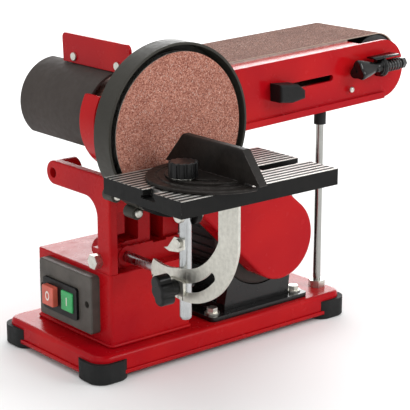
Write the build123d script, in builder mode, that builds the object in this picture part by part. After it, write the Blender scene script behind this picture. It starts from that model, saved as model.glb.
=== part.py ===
from build123d import *
from math import cos, pi, radians, sin, tan
import os

# Bench belt and disc sander. Millimetres, +Z up, X along the belt arm, -Y towards the disc's face.
# Places are counted from the spindle's centre line at the disc's face; spindle_x, disc_y and
# spindle_z put that point in the part's own frame, whose origin is the bottom centre of the machine.
spindle_x = -148.53
disc_y = -36.0
spindle_z = 256.0

# Sanding disc and its guard
disc_r = 75.0
disc_thick = 8.0
paper_thick = 1.0
guard_r = 84.0
guard_wall = 2.5
guard_depth = 22.5
cover_front = -6.0
cover_top = -50.0

# Spindle
shaft_r = 10.0
shaft_fit = 0.05
bearing_r = 21.0
bearing_width = 12.0
hub_r = 27.0
hub_front = 56.0
hub_back = 84.0

# Belt and drums
belt_length = 915.0
belt_width = 100.0
belt_thick = 1.2
belt_front = 86.0
loop_r = 31.5
drum_gap = 0.3
drum_r = loop_r - drum_gap
drum_span = (belt_length - 2 * pi * (loop_r + belt_thick / 2)) / 2
drum_width = 96.0
drum_front = belt_front + (belt_width - drum_width) / 2

# Belt arm
arm_tilt = 2.3
arm_front = 63.0
arm_back = 190.0
arm_wall = 4.0
arm_top = 29.5
arm_bottom = -36.0
arm_collar_r = 55.0
arm_nose_x = 343.0
arm_inner_bottom = -34.3
slot_from = 193.0
slot_to = 266.0
slot_z = -1.0
slot_height = 7.0
idler_retract = 12.0

# V-belt drive
motor_x = 160.0
motor_z = -146.0
pulley_r = 28.0
pulley_front = 34.0
pulley_width = 14.0
vbelt_inner_r = 22.0
vbelt_outer_r = 30.0
vbelt_width = 9.0
vguard_front = 27.0
vguard_back = 54.0
vguard_small_r = 36.0
vguard_large_r = 44.0

# Motor
motor_r = 56.0
motor_front = 58.0
motor_length = 112.0
motor_shaft_r = 7.0

# Base tray, feet and pedestal
base_left = -72.0
base_front = 39.0
base_width = 338.0
base_depth = 169.0
base_top = -228.0
base_rim = 22.0
base_corner = 16.0
base_wall = 2.0
floor_z = -spindle_z
foot_size = 44.0
foot_height = 21.0
foot_out = 4.0
box_left = -44.0
box_front = 55.0
box_width = 101.0
box_depth = 129.0
box_top = -151.0
box_wall = 4.0

# Main casting
cast_front = 74.0
cast_back = 120.0
cast_step = 100.0
cast_left = box_left
cast_right = 57.0
cast_top = -60.0
cheek_thick = 9.0

# Table and its tilt
table_left = -92.0
table_right = 97.0
table_front = -117.0
table_back = -3.0
table_top = -31.0
table_plate = 5.0
table_skirt = 15.5
table_wall = 4.0
slot_depth_y = -70.0
slot_width = 16.0
slot_deep = 8.0
tilt_y = -25.0
tilt_z = -76.0
quad_x = -22.8
quad_thick = 3.0
quad_slot_r = 69.5
quad_slot_w = 9.4
quad_inner_r = 51.0
bar_x = -13.5
bar_z = -140.0
bar_r = 5.5
post_r = 6.0
clamp_z = tilt_z - quad_slot_r

# Miter gauge
fence_x = -22.0
fence_thick = 9.0
miter_y = slot_depth_y

base_x = base_left + base_width / 2
base_y = base_front + base_depth / 2
box_x = box_left + box_width / 2
box_y = box_front + box_depth / 2
guard_back = guard_depth - 2.0


def across(depth, x=0.0, z=0.0, tilt=0.0):
    """Upright plane facing the front, centred on the spindle or beside it: x right, y up."""
    turn = radians(tilt)
    return Plane(
        origin=(spindle_x + x, disc_y + depth, spindle_z + z),
        x_dir=(cos(turn), 0, sin(turn)),
        z_dir=(0, -1, 0),
    )


def arm_plane(depth):
    """The same plane turned to the arm's rest angle: x along the arm."""
    return across(depth, tilt=arm_tilt)


def side(x):
    """Upright plane facing right: x runs back, y runs up."""
    return Plane(origin=(spindle_x + x, disc_y, spindle_z), x_dir=(0, 1, 0), z_dir=(1, 0, 0))


def arm_section(along):
    """Plane square to the arm, facing along it: x runs back, y is up across the arm."""
    turn = radians(arm_tilt)
    return Plane(
        origin=(spindle_x + along * cos(turn), disc_y, spindle_z + along * sin(turn)),
        x_dir=(0, 1, 0),
        z_dir=(cos(turn), 0, sin(turn)),
    )


def level(z):
    """Flat plane at a height from the spindle: x right, y back."""
    return Plane(origin=(spindle_x, disc_y, spindle_z + z))


def polar(radius, angle):
    """A point on a circle, from its angle in degrees."""
    return (radius * cos(radians(angle)), radius * sin(radians(angle)))


def arc_slot(centre, radius, start, sweep_angle, width):
    """A curved slot with round ends."""
    with BuildSketch(Plane.XY) as slot:
        with BuildLine():
            middle = CenterArc(centre, radius, start, sweep_angle)
        SlotArc(middle, width)
    return slot.sketch


def save(piece, name):
    piece.part.label = name
    export_step(piece.part, f"parts/{name}.step")


os.makedirs("parts", exist_ok=True)

# ---------------------------------------------------------------- base

with BuildPart() as base_tray:
    with BuildSketch(level(base_top - base_rim)):
        with Locations((base_x, base_y)):
            RectangleRounded(base_width, base_depth, base_corner)
    extrude(amount=base_rim)
    fillet(base_tray.faces().sort_by(Axis.Z)[-1].edges(), 5)
    offset(amount=-base_wall, openings=base_tray.faces().sort_by(Axis.Z)[0])
save(base_tray, "base_tray")

foot_reach_x = base_width / 2 + foot_out - foot_size / 2
foot_reach_y = base_depth / 2 + foot_out - foot_size / 2
with BuildPart() as rubber_feet:
    with BuildSketch(level(floor_z)):
        with Locations((base_x, base_y)):
            with GridLocations(2 * foot_reach_x, 2 * foot_reach_y, 2, 2):
                RectangleRounded(foot_size, foot_size, base_corner)
    extrude(amount=foot_height)
    chamfer(rubber_feet.faces().group_by(Axis.Z)[0].edges(), 1.2)
    with BuildSketch(level(base_top - base_rim)):
        with Locations((base_x, base_y)):
            RectangleRounded(base_width, base_depth, base_corner)
    extrude(amount=base_rim, mode=Mode.SUBTRACT)
save(rubber_feet, "rubber_feet")

# Pedestal: the cast box that carries the switch, open underneath.
switch_y0 = 74.0
switch_y1 = 167.0
switch_z0 = -217.0
switch_z1 = -156.0
switch_y = 126.0
switch_z = -190.0
plate_thick = 10.5
with BuildPart() as pedestal:
    with BuildSketch(level(base_top)):
        with Locations((box_x, box_y)):
            RectangleRounded(box_width, box_depth, 3)
    extrude(amount=box_top - base_top)
    fillet(pedestal.faces().sort_by(Axis.Z)[-1].edges(), 1.5)
    offset(amount=-box_wall, openings=pedestal.faces().sort_by(Axis.Z)[0])
    with BuildSketch(side(box_left)):
        with Locations((switch_y, switch_z)):
            Rectangle(56, 30)
    extrude(amount=2 * box_wall, mode=Mode.SUBTRACT)
save(pedestal, "pedestal")

# ---------------------------------------------------------------- main casting

post_spots = [polar(44, angle) for angle in (60, 150, 240)]
rear_bore_y = 152.0
rear_bore_z = -64.5
rear_boss_r = 12.5
rear_boss_length = 28.0
rear_top = -52.0
rear_under = -77.0
upright_back = 77.0
block_left = -24.0
rear_block_left = -6.0
foot_top = -130.0
web_left = -36.0
web_top = -62.0
web_bottom = -88.0
boss_r = 11.0
boss_front = 68.0
boss_back = 114.0
foot_front = 69.0
foot_back = 90.0
clamp_bolt_place = (75, bar_z)
with BuildPart() as main_frame:
    # left cheek: upright, foot and the arm that reaches back
    with BuildSketch(side(cast_left)):
        with BuildLine():
            Polyline(
                (foot_back, box_top),
                (box_front, box_top),
                (box_front, rear_top),
                (rear_bore_y, rear_top),
            )
            RadiusArc((rear_bore_y, rear_top), (rear_bore_y, rear_under), rear_boss_r)
            Line((rear_bore_y, rear_under), (upright_back + 20, rear_under))
            RadiusArc((upright_back + 20, rear_under), (upright_back, rear_under - 20), -20)
            Line((upright_back, rear_under - 20), (upright_back, -128))
            RadiusArc((upright_back, -128), (foot_back, -141), -13)
            Line((foot_back, -141), (foot_back, box_top))
        make_face()
    extrude(amount=cheek_thick)
    outline = main_frame.faces().sort_by(Axis.X)[0].edges()
    fillet(outline.filter_by(lambda edge: edge.center().Z > spindle_z + box_top + 1), 2)
    with BuildSketch(side(cast_left + cheek_thick)):
        with Locations((rear_bore_y, rear_bore_z)):
            Circle(rear_boss_r)
    extrude(amount=rear_boss_length - cheek_thick)
    # ribbed block and its foot
    with BuildSketch(across(cast_front)):
        with Locations(((cast_right + block_left) / 2, (box_top + cast_top) / 2)):
            Rectangle(cast_right - block_left, cast_top - box_top)
    extrude(amount=-(cast_step - cast_front))
    with BuildSketch(across(cast_step)):
        with Locations(((cast_right + rear_block_left) / 2, (box_top + cast_top) / 2)):
            Rectangle(cast_right - rear_block_left, cast_top - box_top)
    extrude(amount=-(cast_back - cast_step))
    with BuildSketch(across(foot_front)):
        with Locations(((cast_right + cast_left + 4) / 2, (box_top + foot_top) / 2)):
            Rectangle(cast_right - cast_left - 4, foot_top - box_top)
    extrude(amount=-(foot_back - foot_front))
    # pockets between the ribs, front and back
    with BuildSketch(across(foot_front)):
        with Locations((-3.5, -94.5)):
            Rectangle(17, 63)
        with Locations((28.5, -98)):
            Rectangle(17, 68)
    extrude(amount=-26, mode=Mode.SUBTRACT)
    with BuildSketch(across(cast_front)):
        with Locations((-18, -122)):
            Rectangle(12, 10)
    extrude(amount=-14, mode=Mode.SUBTRACT)
    with BuildSketch(across(cast_back)):
        with Locations((29, -104)):
            Rectangle(40, 72)
    extrude(amount=12, mode=Mode.SUBTRACT)
    # web up to the bearing hub
    with BuildSketch(across(hub_front)):
        Circle(50)
        with BuildLine():
            Polyline(
                (-44, -24),
                (44, -24),
                (cast_right, web_bottom),
                (cast_left + 2, web_bottom),
                close=True,
            )
        make_face()
    extrude(amount=-6)
    with BuildSketch(across(hub_front)):
        with Locations(((cast_right + web_left) / 2, (web_top + web_bottom) / 2)):
            Rectangle(cast_right - web_left, web_top - web_bottom)
    extrude(amount=-(cast_front - hub_front))
    with BuildSketch(across(hub_front)):
        Circle(hub_r)
    extrude(amount=-(hub_back - hub_front))
    # bearing seat
    with BuildSketch(across(hub_front)):
        Circle(bearing_r)
    extrude(amount=-(hub_back - hub_front), mode=Mode.SUBTRACT)
    # bore that holds the table bar when the belt stands upright
    with BuildSketch(side(cast_left)):
        with Locations((rear_bore_y, rear_bore_z)):
            Circle(bar_r + shaft_fit)
    extrude(amount=rear_boss_length, mode=Mode.SUBTRACT)
    # boss and bore for the table bar
    with BuildSketch(across(boss_front)):
        with Locations((bar_x, bar_z)):
            Circle(boss_r)
    extrude(amount=-(boss_back - boss_front))
    with BuildSketch(across(boss_front)):
        with Locations((bar_x, bar_z)):
            Circle(bar_r + shaft_fit)
    extrude(amount=-(cast_back - boss_front), mode=Mode.SUBTRACT)
    # three posts that carry the disc guard
    with BuildSketch(across(guard_depth)):
        with Locations(*post_spots):
            Circle(4.5)
    extrude(amount=-(hub_front - guard_depth))
    # way in for the clamp bolt
    with BuildSketch(side(cast_left)):
        with Locations(clamp_bolt_place):
            Circle(4.05)
    extrude(amount=bar_x - bar_r - cast_left, mode=Mode.SUBTRACT)
save(main_frame, "main_frame")

# ---------------------------------------------------------------- disc guard and lower cover

lug_front = 8.0
lug_spots = [polar(guard_r + 4.5, angle) for angle in (218.5, 239.5)]
with BuildPart() as disc_guard:
    with BuildSketch(across(-1)):
        Circle(guard_r)
    extrude(amount=-(guard_depth + 1))
    with BuildSketch(across(lug_front)):
        with Locations(*lug_spots):
            Circle(6.5)
    extrude(amount=-(guard_depth - lug_front))
    with BuildSketch(across(-1)):
        Circle(guard_r - guard_wall)
    extrude(amount=-(guard_back + 1), mode=Mode.SUBTRACT)
    with BuildSketch(across(guard_back)):
        Circle(20)
    extrude(amount=-5, mode=Mode.SUBTRACT)
save(disc_guard, "disc_guard")

with BuildPart() as lower_disc_cover:
    with BuildSketch(across(cover_front)):
        Circle(guard_r)
    extrude(amount=-(-1 - cover_front))
    with BuildSketch(across(cover_front + 2)):
        Circle(guard_r - guard_wall)
    extrude(amount=-10, mode=Mode.SUBTRACT)
    with BuildSketch(across(cover_front)):
        with Locations((0, cover_top + 100)):
            Rectangle(200, 200)
    extrude(amount=-10, mode=Mode.SUBTRACT)
save(lower_disc_cover, "lower_disc_cover")

with BuildPart() as guard_screws:
    with BuildSketch(across(lug_front - 3)):
        with Locations(*lug_spots):
            Circle(4.2)
    extrude(amount=-3)
    fillet(guard_screws.faces().filter_by(Axis.Y).group_by(Axis.Y)[0].edges(), 1.5)
    with BuildSketch(across(guard_back - 2.5)):
        with Locations(*post_spots):
            Circle(4)
    extrude(amount=-2.5)
save(guard_screws, "guard_screws")

# ---------------------------------------------------------------- spindle

spindle_end = arm_back + 8.0
with BuildPart() as spindle_shaft:
    with BuildSketch(across(3)):
        Circle(shaft_r)
    extrude(amount=-(arm_back - 3))
    with BuildSketch(across(arm_back)):
        Circle(8.5)
    extrude(amount=-8)
    chamfer(spindle_shaft.faces().sort_by(Axis.Y)[-1].edges(), 1)
save(spindle_shaft, "spindle_shaft")

with BuildPart() as sanding_disc:
    with BuildSketch(across(paper_thick)):
        Circle(disc_r)
    extrude(amount=-disc_thick)
    with BuildSketch(across(paper_thick + disc_thick)):
        Circle(17)
    extrude(amount=-10)
    with BuildSketch(across(3)):
        Circle(shaft_r)
    extrude(amount=-30, mode=Mode.SUBTRACT)
save(sanding_disc, "sanding_disc")

with BuildPart() as abrasive_disc:
    with BuildSketch(across(0)):
        Circle(disc_r)
    extrude(amount=-paper_thick)
save(abrasive_disc, "abrasive_disc")


def pulley(depth, centre_x, centre_z, bore):
    """V pulley: a sketch turned about its own axis."""
    middle = depth + pulley_width / 2
    with BuildPart() as wheel:
        with BuildSketch(side(centre_x)):
            with BuildLine():
                Polyline(
                    (depth, centre_z + bore),
                    (depth, centre_z + pulley_r),
                    (middle - vbelt_width / 2, centre_z + pulley_r),
                    (middle - 3, centre_z + vbelt_inner_r - 1),
                    (middle + 3, centre_z + vbelt_inner_r - 1),
                    (middle + vbelt_width / 2, centre_z + pulley_r),
                    (depth + pulley_width, centre_z + pulley_r),
                    (depth + pulley_width, centre_z + bore),
                    close=True,
                )
            make_face()
        turning = Axis((spindle_x + centre_x, disc_y, spindle_z + centre_z), (0, 1, 0))
        revolve(axis=turning)
    return wheel


driven_pulley = pulley(pulley_front, 0, 0, shaft_r)
save(driven_pulley, "driven_pulley")
motor_pulley = pulley(pulley_front, motor_x, motor_z, motor_shaft_r)
save(motor_pulley, "motor_pulley")

with BuildPart() as drive_drum:
    with BuildSketch(across(drum_front)):
        Circle(drum_r)
        Circle(shaft_r, mode=Mode.SUBTRACT)
    extrude(amount=-drum_width)
    chamfer(drive_drum.edges().filter_by(GeomType.CIRCLE).group_by(SortBy.RADIUS)[-1], 1)
save(drive_drum, "drive_drum")


def bearings(depths, inner, outer, width):
    """Ball bearings on the spindle's axis, one solid each, with the shields set in."""
    with BuildPart() as rings:
        for depth in depths:
            with BuildSketch(across(depth)):
                Circle(outer)
                Circle(inner + shaft_fit, mode=Mode.SUBTRACT)
            extrude(amount=-width)
            for face_depth, into in [(depth, -0.8), (depth + width, 0.8)]:
                with BuildSketch(across(face_depth)):
                    Circle(outer - 3)
                    Circle(inner + 3, mode=Mode.SUBTRACT)
                extrude(amount=into, mode=Mode.SUBTRACT)
    return rings


bearing_depths = (hub_front + 1, hub_back - bearing_width - 0.5)
save(bearings(bearing_depths, shaft_r, bearing_r, bearing_width), "spindle_bearings")

# ---------------------------------------------------------------- V-belt drive


def teardrop(small_r, large_r):
    """Two circles, on the spindle and the motor shaft, and the tangents between them."""
    with BuildSketch(Plane.XY) as outline:
        Circle(small_r)
        with Locations((motor_x, motor_z)):
            Circle(large_r)
        make_hull()
    return outline.sketch


with BuildPart() as belt_guard:
    with BuildSketch(across(vguard_front)):
        add(teardrop(vguard_small_r, vguard_large_r))
    extrude(amount=-(vguard_back - vguard_front - 2))
    fillet(belt_guard.faces().sort_by(Axis.Y)[0].edges(), 3)
    with BuildSketch(across(vguard_front + 2.5)):
        add(teardrop(vguard_small_r - 2.5, vguard_large_r - 2.5))
    extrude(amount=-40, mode=Mode.SUBTRACT)
    with BuildSketch(across(vguard_front)):
        Circle(14)
    extrude(amount=-4, mode=Mode.SUBTRACT)
save(belt_guard, "belt_guard")

with BuildPart() as belt_guard_back:
    with BuildSketch(across(vguard_back - 2)):
        add(teardrop(vguard_small_r, vguard_large_r))
        Circle(14, mode=Mode.SUBTRACT)
        with Locations((motor_x, motor_z)):
            Circle(12, mode=Mode.SUBTRACT)
    extrude(amount=-2)
save(belt_guard_back, "belt_guard_back")

vbelt_mid = pulley_front + pulley_width / 2
with BuildPart() as v_belt:
    with BuildSketch(across(vbelt_mid - 3.2)):
        add(teardrop(vbelt_outer_r - 1.5, vbelt_outer_r - 1.5))
        add(teardrop(vbelt_inner_r + 0.5, vbelt_inner_r + 0.5), mode=Mode.SUBTRACT)
    extrude(amount=-6.4)
save(v_belt, "v_belt")

# ---------------------------------------------------------------- motor

motor_back = motor_front + motor_length


def on_motor(depth):
    """Upright plane facing the front, centred on the motor's shaft."""
    return across(depth, motor_x, motor_z)


with BuildPart() as motor_housing:
    with BuildSketch(on_motor(motor_front + 12)):
        Circle(motor_r)
        Circle(motor_r - 6, mode=Mode.SUBTRACT)
    extrude(amount=-(motor_length - 24))
    with BuildSketch(on_motor(motor_front + 16)):
        with PolarLocations(motor_r, 36):
            Rectangle(3, 3)
    extrude(amount=-(motor_length - 32), mode=Mode.SUBTRACT)
save(motor_housing, "motor_housing")

with BuildPart() as motor_end_bells:
    for start, outside in [(motor_front, 0), (motor_back - 12, -1)]:
        with BuildSketch(on_motor(start)):
            Circle(motor_r + 1)
        extrude(amount=-12)
        rim = motor_end_bells.faces().filter_by(Axis.Y).sort_by(Axis.Y)[outside].edges()
        fillet(rim, 5)
    with BuildSketch(on_motor(vguard_back)):
        Circle(18)
    extrude(amount=-(motor_front - vguard_back))
    with BuildSketch(on_motor(motor_back)):
        Circle(18)
    extrude(amount=-3)
    with BuildSketch(on_motor(vguard_back)):
        Circle(motor_shaft_r + shaft_fit)
    extrude(amount=-(motor_length + 30), mode=Mode.SUBTRACT)
save(motor_end_bells, "motor_end_bells")

with BuildPart() as motor_rotor:
    with BuildSketch(on_motor(pulley_front - 3)):
        Circle(motor_shaft_r)
    extrude(amount=-(motor_back + 3 - pulley_front + 3))
    with BuildSketch(on_motor(motor_front + 22)):
        Circle(30)
    extrude(amount=-(motor_length - 44))
save(motor_rotor, "motor_rotor")

with BuildPart() as motor_stator:
    with BuildSketch(on_motor(motor_front + 22)):
        Circle(motor_r - 6)
        Circle(30.6, mode=Mode.SUBTRACT)
    extrude(amount=-(motor_length - 44))
save(motor_stator, "motor_stator")

plate_top = base_top + 5.0
plate_left = 82.0
plate_right = 220.0
plate_y0 = 48.0
plate_y1 = 168.0
plate_bolts = [(93, 62), (210, 62), (93, 154), (210, 154)]
with BuildPart() as motor_plate:
    with BuildSketch(level(base_top)):
        with Locations(((plate_left + plate_right) / 2, (plate_y0 + plate_y1) / 2)):
            RectangleRounded(plate_right - plate_left, plate_y1 - plate_y0, 6)
    extrude(amount=5)
    with BuildSketch(level(base_top)):
        with Locations(*plate_bolts):
            Circle(3.5)
    extrude(amount=5, mode=Mode.SUBTRACT)
save(motor_plate, "motor_plate")

with BuildPart() as motor_cradle:
    for depth in (motor_front + 1, motor_back - 16):
        with BuildSketch(across(depth)):
            with BuildLine():
                Polyline(
                    (motor_x - 52, plate_top),
                    (motor_x - 52, plate_top + 6),
                    (motor_x - 44, motor_z - 30),
                    (motor_x + 44, motor_z - 30),
                    (motor_x + 40, plate_top + 6),
                    (motor_x + 40, plate_top),
                    close=True,
                )
            make_face()
            with Locations((motor_x, motor_z)):
                Circle(motor_r + 1, mode=Mode.SUBTRACT)
        extrude(amount=-14)
    with BuildSketch(level(plate_top)):
        with Locations((motor_x - 6, (motor_front + motor_back) / 2)):
            Rectangle(92, motor_length - 6)
    extrude(amount=5)
save(motor_cradle, "motor_cradle")

# ---------------------------------------------------------------- belt arm

platen_from = 42.0
platen_to = drum_span - 46.0
with BuildPart() as arm_front_cover:
    with BuildSketch(arm_plane(arm_front)):
        with BuildLine():
            Polyline(
                (0, arm_top),
                (arm_nose_x, arm_top),
                (arm_nose_x, arm_bottom),
                (0, arm_bottom),
                close=True,
            )
        make_face()
        with Locations((arm_nose_x, (arm_top + arm_bottom) / 2)):
            Circle((arm_top - arm_bottom) / 2)
        Circle(arm_collar_r)
        with BuildLine():
            Polyline((-60, arm_top), (60, arm_top), (60, 60), (-60, 60), close=True)
        make_face(mode=Mode.SUBTRACT)
    extrude(amount=-arm_wall)
    # curved band round the pivot
    with BuildSketch(arm_plane(arm_front)):
        Circle(arm_collar_r)
        Circle(arm_collar_r - 3, mode=Mode.SUBTRACT)
        with Locations((60, 0)):
            Rectangle(120, 200, mode=Mode.SUBTRACT)
        with Locations((0, arm_top + 30)):
            Rectangle(200, 60, mode=Mode.SUBTRACT)
    extrude(amount=-24)
    # pivot sleeve on the frame's hub
    with BuildSketch(arm_plane(arm_front)):
        Circle(hub_r + 5)
        with Locations((0, arm_top + 30)):
            Rectangle(200, 60, mode=Mode.SUBTRACT)
    extrude(amount=-20)
    with BuildSketch(arm_plane(arm_front)):
        Circle(hub_r + shaft_fit)
    extrude(amount=-40, mode=Mode.SUBTRACT)
    # slot for the tension lever
    with BuildSketch(arm_plane(arm_front)):
        with Locations(((slot_from + slot_to) / 2, slot_z)):
            SlotOverall(slot_to - slot_from, slot_height)
    extrude(amount=-arm_wall, mode=Mode.SUBTRACT)
    # flange turned in over the belt's edge
    with BuildSketch(arm_plane(arm_front + arm_wall)):
        with Locations(((58 + platen_to) / 2, arm_top - 1.7)):
            Rectangle(platen_to - 58, 3.4)
    extrude(amount=-(belt_front - 0.6 - arm_front - arm_wall))
    # stiffening lip along the lower edge
    with BuildSketch(arm_plane(arm_front - 4)):
        with Locations(((130 + arm_nose_x) / 2, arm_bottom + 3.5)):
            Rectangle(arm_nose_x - 130, 7)
    extrude(amount=-4)
save(arm_front_cover, "arm_front_cover")

with BuildPart() as arm_back_cover:
    with BuildSketch(arm_plane(arm_back)):
        with BuildLine():
            Polyline(
                (0, arm_top),
                (arm_nose_x, arm_top),
                (arm_nose_x, arm_bottom),
                (0, arm_bottom),
                close=True,
            )
        make_face()
        with Locations((arm_nose_x, (arm_top + arm_bottom) / 2)):
            Circle((arm_top - arm_bottom) / 2)
        Circle(-arm_bottom)
        with Locations((0, arm_top + 30)):
            Rectangle(200, 60, mode=Mode.SUBTRACT)
        Circle(17.5, mode=Mode.SUBTRACT)
    extrude(amount=-arm_wall)
    with BuildSketch(arm_plane(arm_back + arm_wall)):
        Circle(22)
        Circle(17.5, mode=Mode.SUBTRACT)
    extrude(amount=-6)
save(arm_back_cover, "arm_back_cover")
save(bearings([arm_back], 8.5, 17.5, 10.0), "end_bearing")

with BuildPart() as arm_bottom_plate:
    with BuildSketch(arm_plane(arm_front + arm_wall)):
        with Locations((arm_nose_x / 2 + 24, (arm_bottom + arm_inner_bottom) / 2)):
            Rectangle(arm_nose_x - 50, arm_inner_bottom - arm_bottom)
    extrude(amount=-(arm_back - arm_front - arm_wall))
save(arm_bottom_plate, "arm_bottom_plate")

platen_mid = (platen_from + platen_to) / 2
platen_front = belt_front - 0.6
with BuildPart() as platen:
    with BuildSketch(arm_plane(platen_front)):
        with Locations((platen_mid, loop_r - drum_gap - 1.5)):
            Rectangle(platen_to - platen_from, 3)
    extrude(amount=-(arm_back - platen_front))
    with BuildSketch(arm_plane(belt_front + belt_width + 1)):
        with Locations((platen_mid, arm_top + 5)):
            Rectangle(platen_to - platen_from + 2, 10)
    extrude(amount=-20, mode=Mode.SUBTRACT)
save(platen, "platen")

cross_x0 = 62.0
guide_r = 6.0
guide_to = 286.0
belt_mid = belt_front + belt_width / 2
with BuildPart() as carriage_guide:
    with BuildSketch(arm_section(cross_x0)):
        with Locations(((arm_front + arm_wall + arm_back) / 2, 0)):
            Rectangle(arm_back - arm_front - arm_wall, 44)
    extrude(amount=12)
    with BuildSketch(arm_section(cross_x0)):
        with Locations((belt_mid, 0)):
            Circle(guide_r)
    extrude(amount=guide_to - cross_x0)
save(carriage_guide, "carriage_guide")


def coil_spring(along, centre, pitch, length, radius, wire):
    """Coil spring lying along the arm."""
    plane = arm_section(along)
    with BuildPart() as spring:
        with BuildLine() as coil:
            Helix(pitch, length, radius, center=plane.from_local_coords(centre), direction=plane.z_dir)
        with BuildSketch(Plane(origin=coil.line @ 0, z_dir=coil.line % 0)):
            Circle(wire)
        sweep(path=coil.line)
    return spring


# ---------------------------------------------------------------- idler, its carriage and spring

axle_r = 6.0
fork_front = 74.0
fork_back = arm_back - 2.0
hub_from = 252.0
hub_to = 292.0
with BuildPart() as idler_carriage:
    with BuildSketch(arm_section(hub_from)):
        with Locations((belt_mid, 0)):
            Circle(12)
    extrude(amount=hub_to - hub_from)
    with BuildSketch(arm_section(hub_to)):
        with Locations(((fork_front + fork_back) / 2, 0)):
            Rectangle(fork_back - fork_front, 30)
    extrude(amount=10)
    for y0, y1 in [(fork_front, fork_front + 6), (fork_back - 3, fork_back)]:
        with BuildSketch(arm_plane(y0)):
            with Locations(((hub_to + drum_span + 10) / 2, 0)):
                SlotOverall(drum_span + 20 - hub_to, 20)
            with Locations((drum_span, 0)):
                Circle(axle_r, mode=Mode.SUBTRACT)
        extrude(amount=-(y1 - y0))
    with BuildSketch(arm_section(hub_from)):
        with Locations((belt_mid, 0)):
            Circle(guide_r + shaft_fit)
    extrude(amount=60, mode=Mode.SUBTRACT)
save(idler_carriage, "idler_carriage")

with BuildPart() as idler_axle:
    with BuildSketch(arm_plane(fork_front - 3)):
        with Locations((drum_span, 0)):
            Circle(axle_r)
    extrude(amount=-(fork_back + 1.5 - fork_front + 3))
save(idler_axle, "idler_axle")

with BuildPart() as idler_drum:
    with BuildSketch(arm_plane(drum_front)):
        with Locations((drum_span, 0)):
            Circle(drum_r)
            Circle(axle_r + shaft_fit, mode=Mode.SUBTRACT)
    extrude(amount=-drum_width)
    chamfer(idler_drum.edges().filter_by(GeomType.CIRCLE).group_by(SortBy.RADIUS)[-1], 1)
save(idler_drum, "idler_drum")

with BuildPart() as sanding_belt:
    with BuildSketch(arm_plane(belt_front)):
        with Locations((drum_span / 2, 0)):
            outer_r = loop_r + belt_thick
            SlotCenterToCenter(drum_span, 2 * outer_r)
            SlotCenterToCenter(drum_span, 2 * loop_r, mode=Mode.SUBTRACT)
    extrude(amount=-belt_width)
save(sanding_belt, "sanding_belt")

spring_turns = 20
spring_pitch = 8.0
spring_r = 9.5
wire_r = 1.2
spring_from = cross_x0 + 12 + wire_r + 1
save(
    coil_spring(spring_from, (belt_mid, 0), spring_pitch, spring_pitch * spring_turns, spring_r, wire_r),
    "tension_spring",
)

# ---------------------------------------------------------------- tension lever

lever_x = slot_from + slot_height / 2 + 0.2
with BuildPart() as tension_lever:
    with BuildSketch(arm_plane(arm_front - 2)):
        with Locations((lever_x, slot_z)):
            Circle(slot_height / 2 - 0.3)
    extrude(amount=-(arm_wall + 4))
    with BuildSketch(arm_plane(arm_front + arm_wall + 0.3)):
        with Locations((lever_x, slot_z)):
            Rectangle(24, 16)
    extrude(amount=-4)
    with BuildSketch(arm_plane(arm_front - 1)):
        with BuildLine():
            Polyline(
                (lever_x - 24, slot_z + 9),
                (lever_x + 2, slot_z + 6),
                (lever_x + 12, slot_z - 2),
                (lever_x + 12, slot_z - 11),
                (lever_x - 6, slot_z - 13),
                (lever_x - 24, slot_z - 10),
                close=True,
            )
        make_face()
    extrude(amount=17)
    fillet(tension_lever.faces().sort_by(Axis.Y)[0].edges(), 3)
save(tension_lever, "tension_lever")

# ---------------------------------------------------------------- belt tracking

track_y = 50.0
track_z = 3.0
tab_x = 326.0
with BuildPart() as tracking_bracket:
    with BuildSketch(arm_section(tab_x)):
        with Locations((52.5, 5)):
            Rectangle(21, 20)
        with Locations((track_y, track_z)):
            Circle(4.1, mode=Mode.SUBTRACT)
    extrude(amount=4)
    with BuildSketch(arm_section(tab_x - 14)):
        with Locations((52.5, 14)):
            Rectangle(21, 3)
    extrude(amount=52)
save(tracking_bracket, "tracking_bracket")

with BuildPart() as tracking_screw:
    with BuildSketch(arm_section(tab_x - 8)):
        with Locations((track_y, track_z)):
            Circle(4)
    extrude(amount=47)
    with BuildSketch(arm_section(tab_x + 32)):
        with Locations((track_y, track_z)):
            RegularPolygon(6.5, 6)
    extrude(amount=5)
save(tracking_screw, "tracking_screw")

with BuildPart() as tracking_knob:
    with BuildSketch(arm_section(tab_x - 46)):
        with Locations((track_y, track_z)):
            Circle(10)
            with PolarLocations(9.2, 3, 90):
                Circle(3.2)
    extrude(amount=18)
    with BuildSketch(arm_section(tab_x - 28)) as knob_wide:
        with Locations((track_y, track_z)):
            Circle(10)
    with BuildSketch(arm_section(tab_x - 6)) as knob_narrow:
        with Locations((track_y, track_z)):
            Circle(8)
    loft(sections=[knob_wide.sketch, knob_narrow.sketch])
    with BuildSketch(arm_section(tab_x - 6)):
        with Locations((track_y, track_z)):
            Circle(9.5)
    extrude(amount=5.5)
    with BuildSketch(arm_section(tab_x - 8)):
        with Locations((track_y, track_z)):
            Circle(4)
    extrude(amount=20, mode=Mode.SUBTRACT)
save(tracking_knob, "tracking_knob")

track_coil_from = tab_x + 4 + 1.0
save(coil_spring(track_coil_from, (track_y, track_z), 4.2, 25.0, 6.2, 0.9), "tracking_spring")

# ---------------------------------------------------------------- end guard and stop plate

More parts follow.
